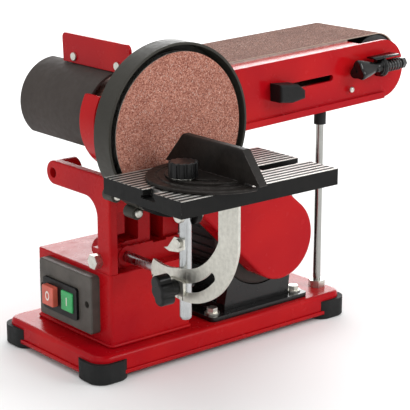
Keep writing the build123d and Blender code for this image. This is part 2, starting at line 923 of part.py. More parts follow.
end_guard_r = 44.0
end_guard_front = 92.0
end_guard_back = 209.0
with BuildPart() as belt_end_guard:
    with BuildSketch(arm_plane(end_guard_front)):
        Circle(end_guard_r)
        Circle(end_guard_r - 2.5, mode=Mode.SUBTRACT)
        with BuildLine():
            Polyline((0, 60), (0, -10), (-60, -50), (0, -90), (90, -90), (90, 60), close=True)
        make_face(mode=Mode.SUBTRACT)
    extrude(amount=-(end_guard_back - end_guard_front))
    with BuildSketch(arm_plane(end_guard_back - 2.5)):
        Circle(end_guard_r - 2.5)
        with BuildLine():
            Polyline((0, 60), (0, -10), (-60, -50), (0, -90), (90, -90), (90, 60), close=True)
        make_face(mode=Mode.SUBTRACT)
    extrude(amount=-2.5)
    with BuildSketch(arm_plane(arm_back + arm_wall)):
        Circle(end_guard_r - 2.5)
        Circle(22.3, mode=Mode.SUBTRACT)
        with BuildLine():
            Polyline((0, 60), (0, -10), (-60, -50), (0, -90), (90, -90), (90, 60), close=True)
        make_face(mode=Mode.SUBTRACT)
    extrude(amount=-2.5)
save(belt_end_guard, "belt_end_guard")

stop_x = -8.0
stop_y0 = 63.5
stop_y1 = 178.0
stop_height = 30.0
stop_thick = 3.0
stop_screws_y = (84.0, 158.0)
with BuildPart() as stop_plate:
    with BuildSketch(arm_section(stop_x)):
        with Locations(((stop_y0 + stop_y1) / 2, end_guard_r + 0.3 + stop_height / 2)):
            Rectangle(stop_y1 - stop_y0, stop_height)
    extrude(amount=stop_thick)
    upper = stop_plate.edges().filter_by(GeomType.LINE).filter_by(
        lambda edge: edge.length < 3.1
    ).group_by(Axis.Z)[-1]
    fillet(upper, 6)
save(stop_plate, "stop_plate")

with BuildPart() as stop_bracket:
    with BuildSketch(arm_section(stop_x + stop_thick)):
        with Locations(((stop_y0 + stop_y1) / 2, end_guard_r + 1.5)):
            Rectangle(stop_y1 - stop_y0 - 20, 3)
    extrude(amount=11)
    with BuildSketch(arm_section(stop_x + stop_thick)):
        for screw_y in stop_screws_y:
            with Locations((screw_y, end_guard_r + 8)):
                Rectangle(16, 16)
    extrude(amount=3)
save(stop_bracket, "stop_bracket")

with BuildPart() as stop_screws:
    with BuildSketch(arm_section(stop_x)):
        for screw_y in stop_screws_y:
            with Locations((screw_y, end_guard_r + 7)):
                Circle(4.5)
    extrude(amount=-2.5)
    fillet(stop_screws.faces().sort_by(Axis.X)[:2].edges(), 1.2)
save(stop_screws, "stop_screws")

# ---------------------------------------------------------------- support rod

rod_x = 252.0
rod_y = 68.0
rod_r = 4.2
rod_top = rod_x * tan(radians(arm_tilt)) + arm_bottom / cos(radians(arm_tilt)) - 0.6
with BuildPart() as support_rod:
    with BuildSketch(level(base_top)):
        with Locations((rod_x, rod_y)):
            Circle(rod_r)
    extrude(amount=rod_top - 3 - base_top)
save(support_rod, "support_rod")

with BuildPart() as support_cap:
    with BuildSketch(level(rod_top - 14)):
        with Locations((rod_x, rod_y)):
            Circle(6.6)
    extrude(amount=14)
    fillet(support_cap.faces().sort_by(Axis.Z)[-1].edges(), 2)
    with BuildSketch(level(rod_top - 14)):
        with Locations((rod_x, rod_y)):
            Circle(rod_r)
    extrude(amount=11, mode=Mode.SUBTRACT)
save(support_cap, "support_cap")

# Hex fasteners of the frame: four plate bolts, the rod's nut and the table bar's clamp bolt
with BuildPart() as hex_fasteners:
    with BuildSketch(level(base_top)):
        with Locations(*plate_bolts):
            Circle(3.4)
    extrude(amount=plate_top - base_top)
    with BuildSketch(level(plate_top)):
        with Locations(*plate_bolts):
            Circle(8)
    extrude(amount=1.6)
    with BuildSketch(level(plate_top + 1.6)):
        with Locations(*plate_bolts):
            RegularPolygon(6, 6)
    extrude(amount=5)
    with BuildSketch(level(base_top)):
        with Locations((rod_x, rod_y)):
            RegularPolygon(9.5, 6)
            Circle(rod_r, mode=Mode.SUBTRACT)
    extrude(amount=8)
    with BuildSketch(side(cast_left)):
        with Locations(clamp_bolt_place):
            RegularPolygon(8, 6)
    extrude(amount=-8)
    with BuildSketch(side(cast_left)):
        with Locations(clamp_bolt_place):
            Circle(4)
    extrude(amount=bar_x - bar_r - cast_left - 0.3)
save(hex_fasteners, "hex_fasteners")

# ---------------------------------------------------------------- table

table_x = (table_left + table_right) / 2
table_w = table_right - table_left
table_y = (table_front + table_back) / 2
table_d = table_back - table_front
with BuildPart() as table:
    with BuildSketch(level(table_top - table_skirt)):
        with Locations((table_x, table_y)):
            Rectangle(table_w, table_d)
    extrude(amount=table_skirt)
    with BuildSketch(level(table_top - table_skirt)):
        with Locations((table_x, table_y)):
            Rectangle(table_w - 2 * table_wall, table_d - 2 * table_wall)
    extrude(amount=table_skirt - table_plate, mode=Mode.SUBTRACT)
    with BuildSketch(level(table_top - table_skirt)):
        with Locations((table_x, slot_depth_y)):
            Rectangle(table_w, slot_width + 10)
    extrude(amount=table_skirt)
    with BuildSketch(level(table_top - slot_deep)):
        with Locations((table_x, slot_depth_y)):
            Rectangle(table_w, slot_width)
    extrude(amount=slot_deep, mode=Mode.SUBTRACT)
    with BuildSketch(level(table_top - slot_deep)):
        with Locations((table_x, slot_depth_y)):
            Rectangle(table_w, slot_width + 5)
    extrude(amount=3, mode=Mode.SUBTRACT)
    # grooves along the table top
    groove_rows = [table_front + 8 + 5.5 * i for i in range(19)]
    with BuildSketch(level(table_top)):
        for row in groove_rows:
            if abs(row - slot_depth_y) > slot_width / 2 + 4:
                with Locations((table_x, row)):
                    Rectangle(table_w - 8, 1.6)
    extrude(amount=-0.8, mode=Mode.SUBTRACT)
    # tilt lug
    with BuildSketch(side(-7)):
        with BuildLine():
            Polyline((tilt_y - 13, -36), (tilt_y - 11, tilt_z), (tilt_y + 11, tilt_z), (tilt_y + 13, -36))
            Line((tilt_y + 13, -36), (tilt_y - 13, -36))
        make_face()
        with Locations((tilt_y, tilt_z)):
            Circle(11)
    extrude(amount=6)
    with BuildSketch(side(-7)):
        with Locations((tilt_y, tilt_z)):
            Circle(4 + shaft_fit)
    extrude(amount=6, mode=Mode.SUBTRACT)
save(table, "table")

leg_front = -112.0
leg_back = -84.5
with BuildPart() as tilt_quadrant:
    with BuildSketch(side(quad_x)):
        with BuildLine():
            Line((leg_front, table_top - table_plate), (leg_front, -90))
            ThreePointArc((leg_front, -90), (-88, -136), (tilt_y, -158))
            Line((tilt_y, -158), (6, -155))
            ThreePointArc((6, -155), (16, -143), (13, -127))
            RadiusArc((13, -127), (tilt_y, tilt_z - quad_inner_r), quad_inner_r + 12)
            RadiusArc((tilt_y, tilt_z - quad_inner_r), (leg_back, -88), quad_inner_r + 16)
            Line((leg_back, -88), (leg_back, table_top - table_plate))
            Line((leg_back, table_top - table_plate), (leg_front, table_top - table_plate))
        make_face()
    extrude(amount=quad_thick)
    with BuildSketch(side(quad_x)):
        add(arc_slot((tilt_y, tilt_z), quad_slot_r, -90 - 46, 47, quad_slot_w))
    extrude(amount=quad_thick, mode=Mode.SUBTRACT)
save(tilt_quadrant, "tilt_quadrant")

# ---------------------------------------------------------------- table bar

with BuildPart() as table_bar:
    with BuildSketch(across(tilt_y)):
        with Locations((bar_x, bar_z)):
            Circle(bar_r)
    extrude(amount=-(boss_back + 4 - tilt_y))
    with BuildSketch(level(-181)):
        with Locations((bar_x, tilt_y)):
            Circle(post_r)
    extrude(amount=tilt_z + 10 + 181)
    fillet(table_bar.edges().filter_by(GeomType.CIRCLE).group_by(Axis.Z)[0], 4)
    with BuildSketch(side(bar_x - 10)):
        with Locations((tilt_y, tilt_z), (tilt_y, clamp_z)):
            Circle(4)
    extrude(amount=20, mode=Mode.SUBTRACT)
save(table_bar, "table_bar")

with BuildPart() as tilt_pivot_bolt:
    with BuildSketch(side(bar_x - post_r - 4)):
        with Locations((tilt_y, tilt_z)):
            Circle(7)
    extrude(amount=4)
    fillet(tilt_pivot_bolt.faces().sort_by(Axis.X)[0].edges(), 1.5)
    with BuildSketch(side(bar_x - post_r)):
        with Locations((tilt_y, tilt_z)):
            Circle(4)
    extrude(amount=2 * post_r + 8)
    with BuildSketch(side(0)):
        with Locations((tilt_y, tilt_z)):
            RegularPolygon(6.5, 6)
    extrude(amount=5)
save(tilt_pivot_bolt, "tilt_pivot_bolt")

with BuildPart() as tilt_pointer:
    with BuildSketch(side(bar_x - post_r - 2)):
        with BuildLine():
            Polyline((-32, -98), (-18, -98), (-8, -110), (-2, -112), (-10, -114), (-24, -112), (-32, -108))
            Line((-32, -108), (-32, -98))
        make_face()
    extrude(amount=2)
    with BuildSketch(side(bar_x - post_r - 5)):
        with Locations((tilt_y, -103)):
            Circle(4.6)
    extrude(amount=3)
save(tilt_pointer, "tilt_pointer")

with BuildPart() as clamp_washer:
    with BuildSketch(side(quad_x - 3.4)):
        with Locations((tilt_y, clamp_z)):
            RectangleRounded(24, 15, 2)
            Circle(4, mode=Mode.SUBTRACT)
    extrude(amount=3)
save(clamp_washer, "clamp_washer")

knob_x = quad_x - 4.0
with BuildPart() as clamp_knob:
    with BuildSketch(side(knob_x - 8)):
        with Locations((tilt_y, clamp_z)):
            Circle(8)
    extrude(amount=8)
    with BuildSketch(side(knob_x - 22)):
        with Locations((tilt_y, clamp_z)):
            SlotOverall(30, 14, rotation=70)
            Circle(9)
    extrude(amount=15)
    fillet(clamp_knob.faces().sort_by(Axis.X)[0].edges(), 2.5)
    with BuildSketch(side(knob_x - 10)):
        with Locations((tilt_y, clamp_z)):
            Circle(3.95)
    extrude(amount=bar_x + post_r + 2 - knob_x + 10)
save(clamp_knob, "clamp_knob")

# ---------------------------------------------------------------- miter gauge

with BuildPart() as miter_bar:
    with BuildSketch(level(table_top - slot_deep + 0.2)):
        with Locations((-22, miter_y)):
            Rectangle(120, slot_width + 4.4)
    extrude(amount=2.6)
    with BuildSketch(level(table_top - slot_deep + 0.2)):
        with Locations((-22, miter_y)):
            Rectangle(120, slot_width - 0.6)
    extrude(amount=slot_deep - 0.4)
save(miter_bar, "miter_bar")

head_bottom = table_top + 0.3
head_thick = 6.0
head_top = head_bottom + head_thick
fence_top = 5.0
lock_reach = 30.0
with BuildPart() as miter_head:
    with BuildSketch(level(head_bottom)):
        with Locations((fence_x, miter_y)):
            Circle(40)
        with Locations((fence_x + 50, miter_y)):
            Rectangle(100, 100, mode=Mode.SUBTRACT)
        with Locations((fence_x + fence_thick / 2, miter_y)):
            Rectangle(fence_thick, 100)
    extrude(amount=head_thick)
    with BuildSketch(level(head_bottom)):
        add(arc_slot((fence_x, miter_y), lock_reach, 118, 124, 6))
    extrude(amount=head_thick, mode=Mode.SUBTRACT)
    with BuildSketch(side(fence_x)):
        with BuildLine():
            Polyline(
                (-140, head_top),
                (-6, head_top),
                (-32, fence_top),
                (-116, fence_top),
                close=True,
            )
        make_face()
    extrude(amount=fence_thick)
    fillet(miter_head.edges().filter_by(Axis.Y).group_by(Axis.Z)[-1], 2)
save(miter_head, "miter_head")

knob_place = (fence_x - lock_reach, miter_y)
with BuildPart() as miter_knob:
    with BuildSketch(level(head_bottom + head_thick)):
        with Locations(knob_place):
            Circle(9)
    extrude(amount=1.5)
    with BuildSketch(level(head_top + 1.5)):
        with Locations(knob_place):
            Circle(13.5)
            with PolarLocations(13.5, 12):
                Circle(1.7, mode=Mode.SUBTRACT)
    extrude(amount=14)
    fillet(miter_knob.faces().sort_by(Axis.Z)[-1].edges(), 1.2)
    with BuildSketch(level(head_bottom)):
        with Locations(knob_place):
            Circle(2.6)
    extrude(amount=head_thick)
save(miter_knob, "miter_knob")

# ---------------------------------------------------------------- switch

with BuildPart() as switch_plate:
    with BuildSketch(side(box_left - plate_thick)):
        with Locations(((switch_y0 + switch_y1) / 2, (switch_z0 + switch_z1) / 2)):
            RectangleRounded(switch_y1 - switch_y0, switch_z1 - switch_z0, 4)
        with Locations((switch_y, switch_z)):
            Rectangle(54, 27, mode=Mode.SUBTRACT)
    extrude(amount=plate_thick)
    # sunk screw holes at its ends
    with BuildSketch(side(box_left - plate_thick)):
        with Locations((82, switch_z + 4), (160.5, switch_z + 4)):
            Circle(3.6)
    extrude(amount=5, mode=Mode.SUBTRACT)
    chamfer(switch_plate.faces().sort_by(Axis.X)[0].outer_wire().edges(), 1)
save(switch_plate, "switch_plate")

face_x = box_left - plate_thick
with BuildPart() as switch_body:
    with BuildSketch(side(face_x)):
        with Locations((switch_y, switch_z)):
            Rectangle(53.4, 26.4)
    extrude(amount=34)
    with BuildSketch(side(face_x - 3)):
        with Locations((switch_y, switch_z)):
            RectangleRounded(60, 34, 3)
    extrude(amount=3)
    with BuildSketch(side(face_x - 3)):
        with Locations((switch_y - 14, switch_z), (switch_y + 14, switch_z)):
            Rectangle(20.6, 21.6)
    extrude(amount=16, mode=Mode.SUBTRACT)
save(switch_body, "switch_body")

for name, shift, out in [("start_button", -14.0, 1.5), ("stop_button", 14.0, 6.0)]:
    with BuildPart() as button:
        with BuildSketch(side(face_x - 3 - out)):
            with Locations((switch_y + shift, switch_z)):
                RectangleRounded(20, 21, 1.5)
        extrude(amount=out + 10)
        fillet(button.faces().sort_by(Axis.X)[0].edges(), 1)
    save(button, name)
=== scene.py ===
import math

import bmesh
import bpy
from mathutils import Matrix, Vector


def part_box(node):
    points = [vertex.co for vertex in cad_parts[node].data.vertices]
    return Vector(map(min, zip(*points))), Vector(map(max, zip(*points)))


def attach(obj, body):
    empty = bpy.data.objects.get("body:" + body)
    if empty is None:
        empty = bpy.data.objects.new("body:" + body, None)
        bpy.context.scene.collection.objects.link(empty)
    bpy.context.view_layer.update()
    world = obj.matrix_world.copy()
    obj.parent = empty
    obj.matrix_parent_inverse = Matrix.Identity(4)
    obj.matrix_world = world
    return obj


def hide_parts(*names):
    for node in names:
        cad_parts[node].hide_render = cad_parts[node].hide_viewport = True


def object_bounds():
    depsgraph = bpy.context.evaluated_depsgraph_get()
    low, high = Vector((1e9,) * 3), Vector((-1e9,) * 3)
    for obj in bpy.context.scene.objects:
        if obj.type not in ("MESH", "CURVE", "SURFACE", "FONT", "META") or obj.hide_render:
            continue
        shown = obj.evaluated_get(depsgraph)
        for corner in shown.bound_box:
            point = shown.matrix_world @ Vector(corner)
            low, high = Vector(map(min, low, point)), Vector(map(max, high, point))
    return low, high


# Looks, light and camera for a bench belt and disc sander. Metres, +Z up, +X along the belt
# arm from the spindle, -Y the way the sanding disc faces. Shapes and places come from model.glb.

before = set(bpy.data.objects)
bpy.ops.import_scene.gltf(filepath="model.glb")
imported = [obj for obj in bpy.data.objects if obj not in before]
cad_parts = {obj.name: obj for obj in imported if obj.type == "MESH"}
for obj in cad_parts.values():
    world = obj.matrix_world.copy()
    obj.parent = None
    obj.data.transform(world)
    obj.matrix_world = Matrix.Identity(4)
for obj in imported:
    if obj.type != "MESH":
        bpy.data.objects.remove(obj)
cad_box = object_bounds()
scene = bpy.context.scene

MM = 0.001

# ---------------------------------------------------------------- camera

VIEW_AZIMUTH = math.radians(-39.72)
VIEW_ELEVATION = math.radians(15.48)
VIEW_DISTANCE = 1.4125
VIEW_RIGHT = 24.3 * MM  # the picture's centre, seen from the disc's centre
VIEW_UP = -71.6 * MM
SENSOR = 36.0  # millimetres, as Blender counts a camera's sizes
LENS = 130.25


def middle(node):
    """The middle of a CAD node's box."""
    low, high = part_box(node)
    return (low + high) / 2


def place_camera():
    """Stands the camera off the disc's face, turned to the machine's left and raised."""
    turn, rise = VIEW_AZIMUTH, VIEW_ELEVATION
    level = math.cos(rise)
    back = Vector((math.sin(turn) * level, -math.cos(turn) * level, math.sin(rise)))
    right = Vector((math.cos(turn), math.sin(turn), 0.0))
    up = back.cross(right)
    disc = middle("abrasive_disc")
    disc.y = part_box("abrasive_disc")[0].y
    spot = disc + back * VIEW_DISTANCE + right * VIEW_RIGHT + up * VIEW_UP
    data = bpy.data.cameras.new("camera")
    data.lens = LENS
    data.sensor_width = SENSOR
    camera = bpy.data.objects.new("camera", data)
    aim = Matrix((right, up, back)).transposed().to_4x4()
    camera.matrix_world = Matrix.Translation(spot) @ aim
    scene.collection.objects.link(camera)
    scene.camera = camera


place_camera()

# ---------------------------------------------------------------- material kit

WHITE = (1.0, 1.0, 1.0, 1.0)
MIDTONES = (0.3, 0.7)  # the stretch of a noise that its pattern is taken from
BEVEL_SAMPLES = 4
EDGE_FAINT = 0.985  # cosine of the lean from the true normal to the rounded one
EDGE_FULL = 0.80


def rgba(color):
    return (*color, 1.0)


class Surface:
    """One Principled material. Patterns are laid in the node's own space, so they move with it.

    Sizes and depths are in metres, colours are linear, and the rest runs from 0 to 1."""

    def __init__(self, name, color, roughness, **sockets):
        self.material = bpy.data.materials.new(name)
        self.material.use_nodes = True
        self.tree = self.material.node_tree
        self.shader = self.tree.nodes["Principled BSDF"]
        coords = self.tree.nodes.new("ShaderNodeTexCoord")
        self.place = coords.outputs["Object"]
        self.direction = coords.outputs["Normal"]
        self.shader.inputs["Base Color"].default_value = rgba(color)
        self.shader.inputs["Roughness"].default_value = roughness
        for socket, value in sockets.items():
            self.shader.inputs[socket.replace("_", " ")].default_value = value

    def node(self, kind, inputs=(), **settings):
        made = self.tree.nodes.new("ShaderNode" + kind)
        for key, value in settings.items():
            setattr(made, key, value)
        for key, value in dict(inputs).items():
            if isinstance(value, bpy.types.NodeSocket):
                self.tree.links.new(value, made.inputs[key])
            else:
                made.inputs[key].default_value = value
        return made

    def noise(self, size, detail=3.0, roughness=0.55, stretch=None):
        """Noise from 0 to 1 whose blotches are about size metres across."""
        vector = self.place
        if stretch:
            vector = self.node("Mapping", {"Vector": vector, "Scale": stretch}).outputs[0]
        inputs = {"Vector": vector, "Scale": 1 / size, "Detail": detail, "Roughness": roughness}
        return self.node("TexNoise", inputs).outputs[0]

    def cells(self, size, output="Distance"):
        """Voronoi cells about size metres across."""
        return self.node("TexVoronoi", {"Vector": self.place, "Scale": 1 / size}).outputs[output]

    def remap(self, value, low, high, to_low=0.0, to_high=1.0):
        """Stretches low..high to to_low..to_high and stops at both ends."""
        inputs = {0: value, 1: low, 2: high, 3: to_low, 4: to_high}
        return self.node("MapRange", inputs).outputs[0]

    def math(self, operation, first, second=0.0):
        return self.node("Math", {0: first, 1: second}, operation=operation).outputs[0]

    def mix(self, factor, first, second):
        """A colour, first where factor is 0 and second where it is 1."""
        made = self.node("Mix", data_type="RGBA")
        for socket, value in (("Factor_Float", factor), ("A_Color", first), ("B_Color", second)):
            target = next(s for s in made.inputs if s.identifier == socket)
            if isinstance(value, bpy.types.NodeSocket):
                self.tree.links.new(value, target)
            else:
                target.default_value = value if socket == "Factor_Float" else rgba(value)
        return next(s for s in made.outputs if s.identifier == "Result_Color")

    def painted(self):
        """The colour laid so far, for painting over."""
        return self.shader.inputs["Base Color"].links[0].from_socket

    def axis(self, vector, which):
        return self.node("SeparateXYZ", {0: vector}).outputs["XYZ".index(which)]

    def rounded(self, radius):
        """The shading normal with every sharp edge rounded to that radius."""
        return self.node("Bevel", {"Radius": radius}, samples=BEVEL_SAMPLES).outputs[0]

    def edges(self, radius):
        """1 on sharp edges and 0 on open faces."""
        true_normal = self.node("NewGeometry").outputs["Normal"]
        normals = {0: self.rounded(radius), 1: true_normal}
        lean = self.node("VectorMath", normals, operation="DOT_PRODUCT").outputs[1]
        return self.remap(lean, EDGE_FAINT, EDGE_FULL)

    def color(self, value):
        self.tree.links.new(value, self.shader.inputs["Base Color"])

    def rough(self, value):
        self.tree.links.new(value, self.shader.inputs["Roughness"])

    def metal(self, value):
        self.tree.links.new(value, self.shader.inputs["Metallic"])

    def bump(self, *layers, radius=0.0005):
        """Relief, as pairs of a height from 0 to 1 and its depth in metres, over rounded edges."""
        normal = self.rounded(radius)
        for height, depth in layers:
            inputs = {"Height": height, "Distance": depth, "Normal": normal}
            normal = self.node("Bump", inputs).outputs[0]
        self.tree.links.new(normal, self.shader.inputs["Normal"])
        self.tree.links.new(normal, self.shader.inputs["Coat Normal"])


def dress(surface, *nodes):
    """Gives CAD nodes this surface."""
    for name in nodes:
        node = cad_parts[name]
        if not node.material_slots:
            node.data.materials.append(surface.material)
        for slot in node.material_slots:
            slot.material = surface.material


# ---------------------------------------------------------------- painted metal


def enamel(name, color, deep, texture=0.00002, grain=0.0026, roughness=0.20, gloss=0.10):
    """Gloss paint: a slow drift of colour, orange peel, and edges lighter and pinker in patches,
    partly thinner paint and partly a painted edge highlight.
    """
    paint = Surface(name, color, roughness, Specular_IOR_Level=gloss)
    drift = paint.remap(paint.noise(0.09, 2.0), 0.35, 0.65)
    body = paint.mix(drift, color, deep)
    patches = paint.remap(paint.noise(0.004), 0.52, 0.66)
    # painted highlight: patches along the edges are painted lighter and pinker, partly for thinner
    # paint there and partly as an edge highlight
    patch_mask = paint.math("MULTIPLY", paint.edges(0.0006), patches)
    paint.color(paint.mix(patch_mask, body, [1.25 * c + 0.008 for c in color]))
    smears = paint.noise(0.012, 4.0)
    paint.rough(paint.remap(smears, *MIDTONES, roughness - 0.06, roughness + 0.1))
    peel = paint.noise(grain, 2.0, 0.45)
    lumps = paint.noise(0.02, 2.0)
    paint.bump((peel, texture), (lumps, texture * 3), radius=0.0009)
    return paint


def powder_coat(name, color, light, roughness=0.5):
    """Satin or matt paint with a fine pebbled texture, rubbed lighter along its edges."""
    paint = Surface(name, color, roughness, Specular_IOR_Level=0.15)
    drift = paint.remap(paint.noise(0.05), *MIDTONES)
    body = paint.mix(drift, color, [1.25 * c for c in color])
    patches = paint.remap(paint.noise(0.003), 0.5, 0.62)
    rubbed = paint.math("MULTIPLY", paint.edges(0.0005), patches)
    paint.color(paint.mix(rubbed, body, light))
    smears = paint.noise(0.006, 4.0)
    paint.rough(paint.remap(smears, *MIDTONES, roughness - 0.08, roughness + 0.1))
    paint.bump((paint.cells(0.0011), 0.00006), (paint.noise(0.003), 0.00004), radius=0.0007)
    return paint


RED = (0.44, 0.006, 0.008)
DEEP_RED = (0.36, 0.002, 0.007)
sheet_red = enamel("red_sheet_enamel", RED, DEEP_RED)
cast_red = enamel("red_cast_enamel", RED, DEEP_RED, texture=0.00006, grain=0.0042, roughness=0.28)
dress(sheet_red, "base_tray", "belt_guard", "arm_front_cover", "arm_back_cover")
dress(sheet_red, "arm_bottom_plate", "stop_plate", "stop_bracket")
dress(cast_red, "pedestal", "main_frame")

guard_grey = powder_coat("grey_guard_paint", (0.036, 0.034, 0.028), (0.12, 0.115, 0.10), 0.42)
hood_grey = powder_coat("grey_hood_paint", (0.048, 0.040, 0.036), (0.13, 0.115, 0.105), 0.62)
motor_black = powder_coat("black_motor_paint", (0.006, 0.006, 0.006), (0.05, 0.05, 0.05), 0.36)
dress(guard_grey, "disc_guard")
dress(hood_grey, "belt_end_guard", "motor_end_bells")
dress(motor_black, "motor_housing", "lower_disc_cover", "belt_guard_back", "carriage_guide")

black_gloss = enamel("black_gloss_paint", (0.004, 0.004, 0.004), (0.007, 0.006, 0.006), gloss=0.4)
dress(black_gloss, "motor_cradle", "motor_plate", "tracking_bracket")

# ---------------------------------------------------------------- bare metal


def plated(name, color, roughness, blotch=0.006, tarnish=0.75):
    """Bright zinc or ground steel: faint blotches, fine scratches and duller patches."""
    steel = Surface(name, color, roughness, Metallic=1.0)
    patches = steel.remap(steel.noise(blotch, 5.0, 0.6), 0.35, 0.72)
    steel.color(steel.mix(patches, color, [tarnish * c for c in color]))
    scratches = steel.noise(0.0016, 2.0, 0.5, stretch=(1.0, 1.0, 0.06))
    steel.rough(steel.remap(scratches, *MIDTONES, roughness - 0.08, roughness + 0.12))
    steel.bump((scratches, 0.000008), (steel.noise(0.0009, 2.0), 0.000006), radius=0.0004)
    return steel


zinc = plated("bright_zinc", (0.66, 0.65, 0.59), 0.34)
bar_steel = plated("ground_bar", (0.50, 0.515, 0.52), 0.26, blotch=0.012, tarnish=0.80)
rod_chrome = plated("polished_rod", (0.37, 0.37, 0.35), 0.22, blotch=0.02, tarnish=0.85)
tool_steel = plated("turned_steel", (0.55, 0.54, 0.52), 0.30)
cast_aluminium = plated("turned_aluminium", (0.78, 0.78, 0.78), 0.32)
spring_steel = plated("spring_steel", (0.10, 0.10, 0.10), 0.30)
dress(zinc, "guard_screws", "hex_fasteners", "stop_screws", "tilt_pivot_bolt")
dress(zinc, "tilt_pointer", "clamp_washer", "platen")
dress(bar_steel, "table_bar", "idler_axle", "spindle_shaft")
dress(rod_chrome, "support_rod")
dress(tool_steel, "spindle_bearings", "end_bearing", "idler_carriage", "miter_bar", "motor_rotor")
dress(cast_aluminium, "sanding_disc", "driven_pulley", "motor_pulley")
dull_aluminium = plated("dull_aluminium", (0.07, 0.07, 0.07), 0.42)
dress(dull_aluminium, "idler_drum")
dress(spring_steel, "tracking_screw", "tracking_spring", "tension_spring")

windings = plated("copper_windings", (0.60, 0.30, 0.16), 0.38)
dress(windings, "motor_stator")


SCALE_STEP = math.radians(5)
SCALE_FROM = 77.5 * MM  # the lines run outwards from this radius about the tilt bolt
SCALE_FADE = 0.2 * MM
SCALE_LINE = (0.40, 0.43)  # a line starts and is full this far off the gap's middle, in steps
SCALE_FRONT = -12.0 * MM  # and none is cut further forward than this, counted from the bolt
SCALE_INK = (0.03, 0.03, 0.03)


def scaled_quadrant():
    """Galvanised sheet with the tilt scale's lines cut along its outer edge."""
    sheet = plated("galvanised_quadrant", (0.62, 0.61, 0.55), 0.36, blotch=0.004, tarnish=0.8)
    bolt = middle("tilt_pivot_bolt")
    behind = sheet.math("SUBTRACT", sheet.axis(sheet.place, "Y"), bolt.y)
    below = sheet.math("SUBTRACT", bolt.z, sheet.axis(sheet.place, "Z"))
    angle = sheet.math("ARCTAN2", behind, below)
    squares = [sheet.math("POWER", leg, 2.0) for leg in (behind, below)]
    radius = sheet.math("SQRT", sheet.math("ADD", *squares))
    step = sheet.math("FRACT", sheet.math("DIVIDE", angle, SCALE_STEP))
    off = sheet.math("ABSOLUTE", sheet.math("SUBTRACT", step, 0.5))
    outer = sheet.remap(radius, SCALE_FROM, SCALE_FROM + SCALE_FADE)
    line = sheet.math("MULTIPLY", sheet.remap(off, *SCALE_LINE), outer)
    line = sheet.math("MULTIPLY", line, sheet.remap(behind, SCALE_FRONT, SCALE_FRONT + 2.0 * MM))
    sheet.color(sheet.mix(line, sheet.painted(), SCALE_INK))
    return sheet


dress(scaled_quadrant(), "tilt_quadrant")


GROOVE_FIRST = 8.0 * MM  # middle of the CAD's first groove, from the table's front edge
GROOVE_PITCH = 5.5 * MM
PLANED_TOP = (0.26, 0.22)  # bright metal ends and is full this far off its middle, in pitches
PLANED_FROM = -0.6 * MM  # metal below this height under the table's top is painted
PLANED_FULL = -0.3 * MM


def machined_table():
    """Black paint in the grooves and on the skirts, bright planed metal between the grooves."""
    iron = Surface("machined_table", (0.02, 0.02, 0.02), 0.4, Specular_IOR_Level=0.12)
    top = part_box("table")[1].z
    height = iron.axis(iron.place, "Z")
    upward = iron.remap(iron.axis(iron.direction, "Z"), 0.90, 0.95)
    near_top = iron.remap(height, top + PLANED_FROM, top + PLANED_FULL)
    planed = iron.math("MULTIPLY", near_top, upward)
    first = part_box("table")[0].y + GROOVE_FIRST
    along = iron.math("SUBTRACT", iron.axis(iron.place, "Y"), first)
    row = iron.math("FRACT", iron.math("DIVIDE", along, GROOVE_PITCH))
    off_rib = iron.math("ABSOLUTE", iron.math("SUBTRACT", row, 0.5))
    planed = iron.math("MULTIPLY", planed, iron.remap(off_rib, *PLANED_TOP))
    lines = iron.noise(0.0012, 2.0, 0.5, stretch=(0.03, 1.0, 1.0))
    bright = iron.mix(iron.remap(lines, *MIDTONES), (0.62, 0.60, 0.57), (0.80, 0.79, 0.76))
    drift = iron.remap(iron.noise(0.03), *MIDTONES)
    paint = iron.mix(drift, (0.004, 0.004, 0.004), (0.008, 0.0075, 0.007))
    rubbed = iron.math("MULTIPLY", iron.edges(0.0006), iron.remap(iron.noise(0.003), 0.5, 0.6))
    paint = iron.mix(rubbed, paint, (0.13, 0.13, 0.125))
    iron.color(iron.mix(planed, paint, bright))
    iron.metal(planed)
    paint_rough = iron.remap(iron.noise(0.006), *MIDTONES, 0.34, 0.5)
    iron.rough(iron.math("ADD", paint_rough, iron.math("MULTIPLY", planed, 0.12)))
    iron.bump((iron.noise(0.0022), 0.00005), (lines, 0.00001), radius=0.0006)
    return iron


field_black = powder_coat("table_field_paint", (0.004, 0.004, 0.004), (0.05, 0.05, 0.05), 0.45)
rib_steel = plated("planed_ribs", (0.74, 0.73, 0.69), 0.42, blotch=0.010, tarnish=0.85)
dress(machined_table(), "table")


def cast_gauge():
    """Dark brown-black casting with its corners rubbed to a lighter grey."""
    cast = Surface("cast_gauge", (0.022, 0.019, 0.017), 0.45, Specular_IOR_Level=0.18)
    drift = cast.remap(cast.noise(0.012, 4.0), *MIDTONES)
    body = cast.mix(drift, (0.008, 0.0065, 0.0055), (0.017, 0.014, 0.012))
    rubbed = cast.math("MULTIPLY", cast.edges(0.0012), cast.remap(cast.noise(0.004), 0.35, 0.6))
    cast.color(cast.mix(rubbed, body, (0.11, 0.10, 0.092)))
    cast.rough(cast.remap(cast.noise(0.005), *MIDTONES, 0.36, 0.55))
    cast.bump((cast.noise(0.0024, 4.0), 0.00012), (cast.cells(0.0016), 0.00005), radius=0.0008)
    return cast


gauge_iron = cast_gauge()
dress(gauge_iron, "miter_head")

# ---------------------------------------------------------------- abrasive


